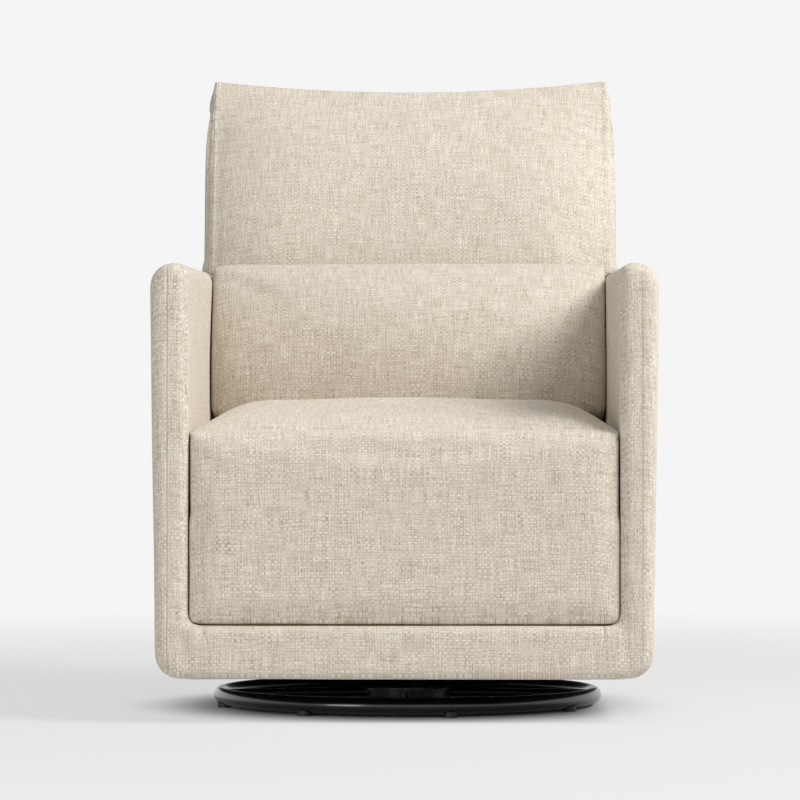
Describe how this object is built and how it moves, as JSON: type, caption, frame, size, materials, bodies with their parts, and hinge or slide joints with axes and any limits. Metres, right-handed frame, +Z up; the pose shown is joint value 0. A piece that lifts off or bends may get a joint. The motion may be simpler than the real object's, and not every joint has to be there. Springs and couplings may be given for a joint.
{
  "type": "swivel glider chair",
  "caption": "Upholstered armchair with lumbar cushion, gliding on hanging links over a turntable and a tubular ring base.",
  "frame": {"origin": "on the floor, on the swivel axis, in the middle of the chair's width and depth", "axes": "+Z up, -Y the way the sitter faces, +X to the right as seen from the front"},
  "size_m": [0.762, 0.86, 1.034],
  "materials": {
    "black_steel": "gloss",
    "zinc_steel": "satin",
    "nylon": "satin",
    "glide_plastic": "matte",
    "rubber": "matte",
    "hardwood": "matte",
    "plywood": "matte",
    "webbing": "matte",
    "felt": "matte",
    "dust_cloth": "matte",
    "upholstery": "matte"
  },
  "bodies": {
    "base": {"base_ring": "black_steel", "ring_glides": "glide_plastic", "spokes": "black_steel", "hub": "black_steel", "pivot_bolt": "zinc_steel", "pivot_washer": "zinc_steel", "pivot_nut": "zinc_steel"},
    "bearing": {"ball_cage": "nylon", "bearing_balls": "zinc_steel"},
    "turntable": {"upper_race": "black_steel", "race_rivets": "zinc_steel", "swivel_pan": "black_steel", "left_stand": "black_steel", "right_stand": "black_steel", "stand_rivets": "zinc_steel", "cross_tie": "black_steel", "upper_pivot_bolts": "zinc_steel", "upper_washers": "nylon", "stop_bumpers": "rubber"},
    "front_links": {"left_front_link": "black_steel", "right_front_link": "black_steel", "front_link_bushes": "nylon"},
    "rear_links": {"left_rear_link": "black_steel", "right_rear_link": "black_steel", "rear_link_bushes": "nylon"},
    "seat": {"left_glide_rail": "black_steel", "right_glide_rail": "black_steel", "lower_pivot_pins": "zinc_steel", "lower_washers": "nylon", "rail_screws": "zinc_steel", "left_seat_rail": "hardwood", "right_seat_rail": "hardwood", "seat_slats": "hardwood", "front_board": "plywood", "rear_board": "plywood", "spring_rail": "hardwood", "corner_blocks": "hardwood", "left_arm_panel": "plywood", "right_arm_panel": "plywood", "left_back_post": "hardwood", "right_back_post": "hardwood", "post_spacers": "hardwood", "post_screws": "zinc_steel", "back_top_rail": "hardwood", "back_mid_rail": "hardwood", "back_webbing": "webbing", "seat_springs": "zinc_steel", "spring_clips": "zinc_steel", "spring_felt": "felt", "seat_top_pad": "upholstery", "seat_front_pad": "upholstery", "front_rail_pad": "upholstery", "lower_back_pad": "upholstery", "lumbar_cushion": "upholstery", "back_cushion": "upholstery", "left_arm_pad": "upholstery", "right_arm_pad": "upholstery", "outer_back": "upholstery", "dust_cover": "dust_cloth"}
  },
  "joints": [
    {"name": "swivel", "type": "hinge", "parent": "base", "child": "turntable", "pos_m": [0, 0, 0.03], "axis": [0, 0, 1], "continuous": true},
    {"name": "bearing_roll", "type": "hinge", "parent": "base", "child": "bearing", "pos_m": [0, 0, 0.029], "axis": [0, 0, 1], "continuous": true},
    {"name": "glide", "type": "hinge", "parent": "turntable", "child": "front_links", "pos_m": [0, -0.095, 0.197], "axis": [1, 0, 0], "range_deg": [-20, 20]},
    {"name": "rear_link_swing", "type": "hinge", "parent": "turntable", "child": "rear_links", "pos_m": [0, 0.095, 0.197], "axis": [1, 0, 0], "range_deg": [-20, 20]},
    {"name": "seat_hang", "type": "hinge", "parent": "front_links", "child": "seat", "pos_m": [0, -0.095, 0.082], "axis": [1, 0, 0], "range_deg": [-20, 20]}
  ],
  "couplings": [
    {"joint": "bearing_roll", "follows": "swivel", "ratio": 0.5},
    {"joint": "rear_link_swing", "follows": "glide", "ratio": 1},
    {"joint": "seat_hang", "follows": "glide", "ratio": -1}
  ]
}
